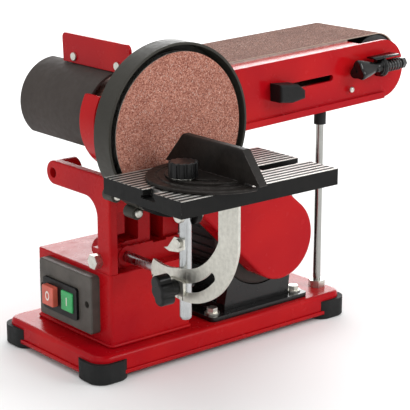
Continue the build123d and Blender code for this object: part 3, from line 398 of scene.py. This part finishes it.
def abrasive(name, dark, light, cloth, grit_faces_front):
    """Grit on cloth: coarse grains, a few with a painted glint of light, dark gaps between them,
    and pale cloth on the cut edges. A disc's grit faces the front, and a belt's edges do."""
    grit = Surface(name, light, 0.86, Specular_IOR_Level=0.15)
    grains = grit.cells(0.0009, "Color")
    grain = grit.axis(grains, "X")
    clumps = grit.noise(0.0019, 3.0, 0.7)
    patch_mask = grit.noise(0.035, 3.0)
    shares = [grit.math("MULTIPLY", grain, 0.62), grit.math("MULTIPLY", clumps, 0.55)]
    speckle = grit.math("ADD", *shares)
    body = grit.mix(grit.remap(speckle, 0.30, 0.92), dark, light)
    # painted highlight: a few grains get a pale glint painted into their colour
    glint = grit.remap(grit.axis(grains, "Y"), 0.90, 0.97)
    body = grit.mix(grit.math("MULTIPLY", glint, 0.35), body, (0.80, 0.66, 0.58))
    body = grit.mix(grit.remap(patch_mask, 0.42, 0.75, 0.0, 0.35), body, dark)
    edge = grit.remap(grit.math("ABSOLUTE", grit.axis(grit.direction, "Y")), 0.5, 0.6)
    if grit_faces_front:
        edge = grit.math("SUBTRACT", 1.0, edge)
    grit.color(grit.mix(edge, body, cloth))
    grit.bump((grit.cells(0.0010), 0.00028), (clumps, 0.0003), radius=0.0003)
    return grit


DISC_CLOTH = (0.50, 0.40, 0.33)
BELT_CLOTH = (0.52, 0.43, 0.36)
disc_grit = abrasive("disc_grit", (0.20, 0.058, 0.040), (0.60, 0.285, 0.21), DISC_CLOTH, True)
belt_grit = abrasive("belt_grit", (0.085, 0.036, 0.028), (0.36, 0.195, 0.15), BELT_CLOTH, False)
dress(disc_grit, "abrasive_disc")
dress(belt_grit, "sanding_belt")

# ---------------------------------------------------------------- rubber and plastic


GREY_DUST = (0.10, 0.10, 0.10)


def molded(name, color, roughness, pebble=0.0009, depth=0.00003, dust=GREY_DUST, coat=0.0):
    """Moulded rubber or plastic: a fine pebble, slight flow marks, and dust on edges."""
    finish = {"Specular_IOR_Level": 0.18, "Coat_Weight": coat, "Coat_Roughness": 0.1}
    body = Surface(name, color, roughness, **finish)
    drift = body.remap(body.noise(0.02, 3.0), *MIDTONES)
    tone = body.mix(drift, color, [1.5 * c for c in color])
    patches = body.remap(body.noise(0.0025), 0.45, 0.65)
    rubbed = body.math("MULTIPLY", body.edges(0.0006), patches)
    body.color(body.mix(body.math("MULTIPLY", rubbed, 0.6), tone, dust))
    smears = body.noise(0.004, 4.0)
    body.rough(body.remap(smears, *MIDTONES, roughness - 0.07, roughness + 0.09))
    body.bump((body.cells(pebble), depth), (body.noise(0.008), 0.00004), radius=0.0006)
    return body


rubber = molded("foot_rubber", (0.010, 0.0105, 0.0105), 0.62, 0.0014, 0.00005, (0.09, 0.09, 0.09))
belt_rubber = molded("v_belt_rubber", (0.009, 0.009, 0.009), 0.75, 0.0007, 0.00005)
knob_black = molded("knob_plastic", (0.004, 0.004, 0.004), 0.34, 0.0007, 0.00001, coat=0.15)
lever_black = molded("lever_plastic", (0.006, 0.006, 0.006), 0.52)
gloss_black = molded("gloss_plastic", (0.004, 0.004, 0.004), 0.14, 0.0007, 0.000006, coat=0.4)
plate_grey = molded("switch_plate_plastic", (0.064, 0.057, 0.050), 0.42, dust=(0.20, 0.19, 0.18))
bezel_black = molded("bezel_plastic", (0.004, 0.004, 0.004), 0.38)
GREEN_DUST = (0.20, 0.45, 0.25)
RED_DUST = (0.60, 0.25, 0.20)
start_green = molded("start_plastic", (0.030, 0.27, 0.085), 0.30, dust=GREEN_DUST, coat=0.2)
stop_red = molded("stop_plastic", (0.46, 0.090, 0.060), 0.32, dust=RED_DUST, coat=0.2)
dress(rubber, "rubber_feet", "support_cap", "drive_drum")
dress(belt_rubber, "v_belt")
dress(knob_black, "clamp_knob", "miter_knob")
dress(gloss_black, "tracking_knob")
dress(lever_black, "tension_lever")
dress(plate_grey, "switch_plate")
dress(bezel_black, "switch_body")
dress(start_green, "start_button")
dress(stop_red, "stop_button")


MARK_WHITE = (0.72, 0.66, 0.60)


def mark_button(surface, node, half_height, half_width, hollow):
    """Prints a plain white ring or bar in the middle of a button's face."""
    centre = middle(node)
    back = surface.math("SUBTRACT", surface.axis(surface.place, "Y"), centre.y)
    up = surface.math("SUBTRACT", surface.axis(surface.place, "Z"), centre.z)
    wide = surface.math("POWER", surface.math("DIVIDE", back, half_width), 2.0)
    high = surface.math("POWER", surface.math("DIVIDE", up, half_height), 2.0)
    if hollow:
        reach = surface.math("SQRT", surface.math("ADD", wide, high))
        ring = surface.math("ABSOLUTE", surface.math("SUBTRACT", reach, 1.0))
        mark = surface.remap(ring, 0.26, 0.20)
    else:
        mark = surface.remap(surface.math("MAXIMUM", wide, high), 1.05, 0.95)
    outward = surface.remap(surface.axis(surface.direction, "X"), -0.90, -0.95)
    mark = surface.math("MULTIPLY", mark, outward)
    surface.color(surface.mix(mark, surface.painted(), MARK_WHITE))


mark_button(stop_red, "stop_button", half_height=4.2 * MM, half_width=2.9 * MM, hollow=True)
mark_button(start_green, "start_button", half_height=4.4 * MM, half_width=0.7 * MM, hollow=False)

# ---------------------------------------------------------------- added trim


def add_piece(name, verts, faces, surface, body, smooth=True):
    """A visible piece of trim that rides on a CAD body."""
    mesh = bpy.data.meshes.new(name)
    mesh.from_pydata(verts, [], faces)
    rebuilt = bmesh.new()
    rebuilt.from_mesh(mesh)
    bmesh.ops.recalc_face_normals(rebuilt, faces=rebuilt.faces)
    rebuilt.to_mesh(mesh)
    rebuilt.free()
    if smooth:
        mesh.shade_smooth()
    mesh.materials.append(surface.material)
    piece = bpy.data.objects.new(name, mesh)
    scene.collection.objects.link(piece)
    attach(piece, body)
    return piece


def rounded_outline(low, high, radius, steps=10):
    """Points and outward directions round a rectangle with round corners."""
    outline = []
    corners = ((high.x, high.y), (low.x, high.y), (low.x, low.y), (high.x, low.y))
    for quarter, (x, y) in enumerate(corners):
        side_x = 1 if x == high.x else -1
        side_y = 1 if y == high.y else -1
        for step in range(steps + 1):
            turn = (quarter + step / steps) * math.pi / 2
            out = (math.cos(turn), math.sin(turn))
            spot_x = x - side_x * radius + radius * out[0]
            spot_y = y - side_y * radius + radius * out[1]
            outline.append(((spot_x, spot_y), out))
    return outline


def band(name, outline, profile, surface, body):
    """A closed profile, as pairs of outward reach and height, carried round an outline."""
    verts = [
        (x + reach * out_x, y + reach * out_y, z)
        for (x, y), (out_x, out_y) in outline
        for reach, z in profile
    ]
    count, size = len(outline), len(profile)
    faces = []
    for i in range(count):
        here, there = i * size, (i + 1) % count * size
        for k in range(size):
            after = (k + 1) % size
            faces.append((here + k, there + k, there + after, here + after))
    add_piece(name, verts, faces, surface, body)


def half_round(middle_z, reach, height, inside=0.4 * MM, steps=8):
    """Profile of a bead with a round outside, sunk a little into the wall behind it."""
    turns = [math.pi * (step / steps - 0.5) for step in range(steps + 1)]
    arc = [(reach * math.cos(turn), middle_z + height / 2 * math.sin(turn)) for turn in turns]
    return arc + [(-inside, middle_z + height / 2), (-inside, middle_z - height / 2)]


def flat_lip(low_z, high_z, reach, inside=0.4 * MM, curve=0.7 * MM):
    """Profile of a square lip with its upper outside corner rounded."""
    arc = [
        (reach - curve * (1 - math.cos(turn)), high_z - curve * (1 - math.sin(turn)))
        for turn in (0.0, math.pi / 8, math.pi / 4, 3 * math.pi / 8, math.pi / 2)
    ]
    return [(-inside, low_z), (reach, low_z)] + arc + [(-inside, high_z)]


def dome(name, spot, radius, height, surface, body, steps=24, rings=6):
    """A pan head that faces the front, flat at the back."""
    verts, faces = [], []
    for ring in range(rings):
        turn = ring / rings * math.pi / 2
        for step in range(steps):
            round_turn = 2 * math.pi * step / steps
            reach = radius * math.cos(turn)
            x, z = reach * math.cos(round_turn), reach * math.sin(round_turn)
            verts.append((spot.x + x, spot.y - height * math.sin(turn), spot.z + z))
    verts.append((spot.x, spot.y - height, spot.z))
    for ring in range(rings - 1):
        for step in range(steps):
            after = (step + 1) % steps
            here = ring * steps
            faces.append((here + step, here + after, here + steps + after, here + steps + step))
    last = (rings - 1) * steps
    faces += [(last + step, last + (step + 1) % steps, len(verts) - 1) for step in range(steps)]
    faces.append(tuple(range(steps)))
    add_piece(name, verts, faces, surface, body)


ARM_TILT = math.radians(2.3)


def arm_spot(base, along, back, up):
    """A point given along, behind and across the arm, from a base point in metres."""
    level, slope = math.cos(ARM_TILT), math.sin(ARM_TILT)
    spot_x = base.x + along * level - up * slope
    spot_z = base.z + along * slope + up * level
    return Vector((spot_x, base.y + back, spot_z))


def tracking_axis():
    """The point on the tracking screw's centre line where the knob's flange ends."""
    flange_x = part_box("tracking_knob")[1].x
    screw = middle("tracking_screw")
    rise = (flange_x - screw.x) * math.tan(ARM_TILT)
    return Vector((flange_x, screw.y, screw.z + rise))


KNOB_LOBES = 3


def turned_knob(name, stations, surface, body, steps=72):
    """A knob lofted along the arm: each station is a distance, a radius and a depth of its
    lobes, counted leftwards from the flange's face. One lobe points up."""
    base = tracking_axis()
    verts, faces = [], []
    for along, radius, lobe in stations:
        for step in range(steps):
            turn = 2 * math.pi * step / steps
            reach = radius + lobe * math.cos(KNOB_LOBES * (turn - math.pi / 2))
            verts.append(arm_spot(base, -along, reach * math.cos(turn), reach * math.sin(turn)))
    for ring in range(len(stations) - 1):
        for step in range(steps):
            after = (step + 1) % steps
            here = ring * steps
            faces.append((here + step, here + after, here + steps + after, here + steps + step))
    last = (len(stations) - 1) * steps
    faces += [tuple(range(steps)), tuple(range(last, last + steps))]
    return add_piece(name, verts, faces, surface, body)


KNOB_STATIONS = [
    (along * MM, radius * MM, lobe * MM)
    for along, radius, lobe in (
        (0.0, 8.8, 0.0),
        (0.4, 9.4, 0.0),
        (2.0, 9.4, 0.0),
        (2.5, 8.6, 0.0),
        (2.8, 6.0, 0.0),
        (6.0, 5.4, 0.0),
        (9.0, 5.6, 0.2),
        (14.0, 6.6, 0.8),
        (22.0, 8.3, 1.5),
        (30.0, 9.8, 1.9),
        (33.5, 10.3, 2.0),
        (35.2, 10.1, 2.0),
        (36.0, 9.3, 1.9),
        (36.2, 8.2, 1.7),
        (35.4, 7.2, 1.5),
    )
]


TAB_RADIUS = 11.5 * MM
BRACKET_SHEET = 1.8 * MM
TAB_START = 0.6 * MM  # along the arm, from the knob's flange
SHELF_START = -11.0 * MM
SHELF_LENGTH = 36.0 * MM
SHELF_FRONT = -6.0 * MM  # counted back from the screw's centre line


def bracket_plate(name, outline, start, length):
    """A flat black plate of a (back, up) outline, extruded along the arm."""
    base = tracking_axis()
    count = len(outline)
    ends = (start, start + length)
    verts = [arm_spot(base, along, back, up) for along in ends for back, up in outline]
    faces = [tuple(range(count)), tuple(range(count, 2 * count))]
    for here in range(count):
        after = (here + 1) % count
        faces.append((here, after, count + after, count + here))
    return add_piece(name, verts, faces, black_gloss, "belt_arm")


def tracking_parts():
    """The tapered knob and its sheet bracket: a round tab that holds the screw, and a shelf."""
    body, slot = "tracking_knob_body", "black_plastic"
    knob = turned_knob("tapered_knob", KNOB_STATIONS, gloss_black, body)
    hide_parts("tracking_knob")
    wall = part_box("arm_front_cover")[0].y - tracking_axis().y
    turns = [math.radians(degrees) for degrees in range(90, 271, 12)]
    front = [(TAB_RADIUS * math.cos(turn), TAB_RADIUS * math.sin(turn)) for turn in turns]
    tab = [(wall, TAB_RADIUS)] + front + [(wall, -TAB_RADIUS)]
    plate = bracket_plate("bracket_tab", tab, TAB_START, BRACKET_SHEET)
    top, under = TAB_RADIUS, TAB_RADIUS - BRACKET_SHEET
    shelf = [(wall, under), (wall, top), (SHELF_FRONT, top), (SHELF_FRONT, under)]
    bracket_plate("bracket_shelf", shelf, SHELF_START, SHELF_LENGTH)
    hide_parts("tracking_bracket")


def slab(x0, x1, y0, y1, z0, z1):
    """The corners and faces of a box, for joining with others."""
    floor_corners = ((x0, y0), (x1, y0), (x1, y1), (x0, y1))
    verts = [(x, y, z) for z in (z0, z1) for x, y in floor_corners]
    faces = [(0, 1, 2, 3), (4, 5, 6, 7)]
    for here in range(4):
        after = (here + 1) % 4
        faces.append((here, after, after + 4, here + 4))
    return verts, faces


def slabs(name, boxes, surface, body):
    """Several boxes as one piece."""
    verts, faces = [], []
    for box in boxes:
        corners, sides = slab(*box)
        faces += [tuple(corner + len(verts) for corner in side) for side in sides]
        verts += corners
    add_piece(name, verts, faces, surface, body, smooth=False)


RIB_LEAST_PITCH = 6.8 * MM  # whole ribs fill each half of the table, at this pitch or a bit more
RIB_WIDTH = 2.6 * MM
RIB_RISE = 0.22 * MM  # over the CAD table's top, and under the gauge's head
FIELD_RISE = 0.06 * MM
TOP_SUNK = 0.3 * MM
TOP_INSET = 0.4 * MM
SLOT_HALF_WIDTH = 8.0 * MM


def table_ribs():
    """Bright ribs along the table, on a black field either side of the gauge's slot."""
    low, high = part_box("table")
    slot_y = middle("miter_bar").y
    x0, x1 = low.x + TOP_INSET, high.x - TOP_INSET
    base = high.z - TOP_SUNK
    halves = (
        (low.y + TOP_INSET, slot_y - SLOT_HALF_WIDTH - TOP_INSET),
        (slot_y + SLOT_HALF_WIDTH + TOP_INSET, high.y - TOP_INSET),
    )
    fields = [(x0, x1, y0, y1, base, high.z + FIELD_RISE) for y0, y1 in halves]
    slabs("table_field", fields, field_black, "table_body")
    ribs = []
    for y0, y1 in halves:
        count = int((y1 - y0 - RIB_WIDTH) / RIB_LEAST_PITCH)
        pitch = (y1 - y0 - RIB_WIDTH) / count
        fronts = [y0 + row * pitch for row in range(count + 1)]
        ribs += [(x0, x1, y, y + RIB_WIDTH, base, high.z + RIB_RISE) for y in fronts]
    slabs("table_ribs", ribs, rib_steel, "table_body")


GAUGE_CENTRE_IN = 4.5 * MM  # the protractor's centre, in from the head's right edge
GAUGE_PROFILE = [  # radius, and height over the head's underside
    (radius * MM, up * MM)
    for radius, up in (
        (36.0, 0.2),
        (61.0, 0.2),
        (61.6, 0.8),
        (61.6, 2.8),
        (61.0, 3.4),
        (53.0, 3.4),
        (52.4, 2.7),
        (50.6, 2.7),
        (50.0, 3.9),
        (44.5, 3.9),
        (43.9, 3.3),
        (42.4, 3.3),
        (41.4, 5.4),
        (36.0, 5.4),
    )
]


def gauge_rim(steps=72):
    """The protractor's stepped rim, a half ring behind the fence."""
    low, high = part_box("miter_head")
    centre = Vector((high.x - GAUGE_CENTRE_IN, middle("miter_bar").y, low.z))
    verts, faces = [], []
    size = len(GAUGE_PROFILE)
    for step in range(steps + 1):
        turn = math.pi / 2 + math.pi * step / steps
        for reach, up in GAUGE_PROFILE:
            x, y = centre.x + reach * math.cos(turn), centre.y + reach * math.sin(turn)
            verts.append((x, y, centre.z + up))
    for step in range(steps):
        here, there = step * size, (step + 1) * size
        for corner in range(size):
            after = (corner + 1) % size
            faces.append((here + corner, there + corner, there + after, here + after))
    faces += [tuple(range(size)), tuple(range(steps * size, (steps + 1) * size))]
    add_piece("gauge_rim", verts, faces, gauge_iron, "miter_head_body", smooth=False)


WASHER_RADIUS = 11.0 * MM
WASHER_RING = 3.0 * MM
WASHER_THICK = 1.3 * MM
WASHER_SEAT = 6.0 * MM  # over the underside of the gauge's head


def knob_washer():
    """A bright flat washer under the gauge's knob."""
    knob = middle("miter_knob")
    corner = Vector((WASHER_RADIUS, WASHER_RADIUS, 0.0))
    circle = rounded_outline(knob - corner, knob + corner, WASHER_RADIUS)
    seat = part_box("miter_head")[0].z + WASHER_SEAT
    top = seat + WASHER_THICK
    ring = [(-WASHER_RING, seat), (0.0, seat), (0.0, top), (-WASHER_RING, top)]
    band("knob_washer", circle, ring, zinc, "miter_knob_body")


EDGE_REACH = 2.2 * MM
EDGE_HEIGHT = 4.0 * MM
TRAY_CORNER = 16.0 * MM
BOX_CORNER = 3.0 * MM


def base_edges():
    """The tray's square lower lip, and the bead round the foot of the switch box."""
    low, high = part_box("base_tray")
    tray = rounded_outline(low, high, TRAY_CORNER)
    lip = flat_lip(low.z, low.z + EDGE_HEIGHT, EDGE_REACH)
    band("tray_lip", tray, lip, sheet_red, "frame")
    low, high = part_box("pedestal")
    box = rounded_outline(low, high, BOX_CORNER)
    bead = half_round(low.z + EDGE_HEIGHT / 2, EDGE_REACH, EDGE_HEIGHT)
    band("box_foot", box, bead, cast_red, "frame")


BELL_SCREW = Vector((-34.0 * MM, 0, -39.0 * MM))  # from the motor's centre line
BELL_DEPTH = 8.0 * MM  # the front bell's face, before the motor's shell
ARM_SCREW = Vector((291.3 * MM, 0, -6.4 * MM))  # from the disc's centre


def loose_screws():
    """A screw in the motor's front bell and one in the arm's side plate."""
    spot = middle("motor_end_bells") + BELL_SCREW
    spot.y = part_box("motor_housing")[0].y - BELL_DEPTH
    dome("bell_screw", spot, 3.6 * MM, 2.4 * MM, zinc, "frame")
    spot = middle("abrasive_disc") + ARM_SCREW
    spot.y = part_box("arm_front_cover")[0].y
    dome("arm_screw", spot, 3.4 * MM, 2.2 * MM, zinc, "belt_arm")


table_ribs()
knob_washer()
gauge_rim()
base_edges()
loose_screws()
tracking_parts()

# ---------------------------------------------------------------- floor and light

FLOOR_SIZE = 14.0
FLOOR_GAP = 0.3 * MM
FLOOR_PALE = (0.915, 0.915, 0.915)
FLOOR_LIGHT = (0.93, 0.93, 0.93)
WORLD_STRENGTH = 0.85
LIGHT_TARGET = (0.0, 0.0, 0.15)


def make_floor():
    mesh = bpy.data.meshes.new("floor")
    half = FLOOR_SIZE / 2
    corners = [(-half, -half, 0), (half, -half, 0), (half, half, 0), (-half, half, 0)]
    mesh.from_pydata(corners, [], [(0, 1, 2, 3)])
    floor = bpy.data.objects.new("floor", mesh)
    floor.location.z = cad_box[0][2] - FLOOR_GAP
    pale = Surface("pale_floor", (0.92, 0.92, 0.92), 0.8, Specular_IOR_Level=0.1)
    pale.color(pale.mix(pale.remap(pale.noise(0.5), *MIDTONES), FLOOR_PALE, FLOOR_LIGHT))
    mesh.materials.append(pale.material)
    scene.collection.objects.link(floor)


def softbox(name, spot, size, watts):
    """A white rectangular lamp that faces the machine."""
    data = bpy.data.lights.new(name, "AREA")
    data.shape = "RECTANGLE"
    data.size, data.size_y = size
    data.energy = watts
    lamp = bpy.data.objects.new(name, data)
    lamp.location = spot
    aim = Vector(LIGHT_TARGET) - Vector(spot)
    lamp.rotation_euler = aim.to_track_quat("-Z", "Y").to_euler()
    scene.collection.objects.link(lamp)


def light_studio():
    world = bpy.data.worlds.new("studio")
    world.use_nodes = True
    background = world.node_tree.nodes["Background"]
    background.inputs["Color"].default_value = WHITE
    background.inputs["Strength"].default_value = WORLD_STRENGTH
    scene.world = world
    softbox("key", (1.1, -1.9, 1.5), size=(1.0, 1.0), watts=25.0)
    softbox("fill", (-2.0, -0.7, 1.1), size=(1.0, 1.4), watts=2.0)
    softbox("top", (0.1, 0.3, 2.0), size=(1.6, 1.6), watts=8.0)
    softbox("back", (2.2, 2.65, 1.1), size=(3.4, 1.8), watts=78.0)


make_floor()
light_studio()
scene.view_settings.view_transform = "Standard"
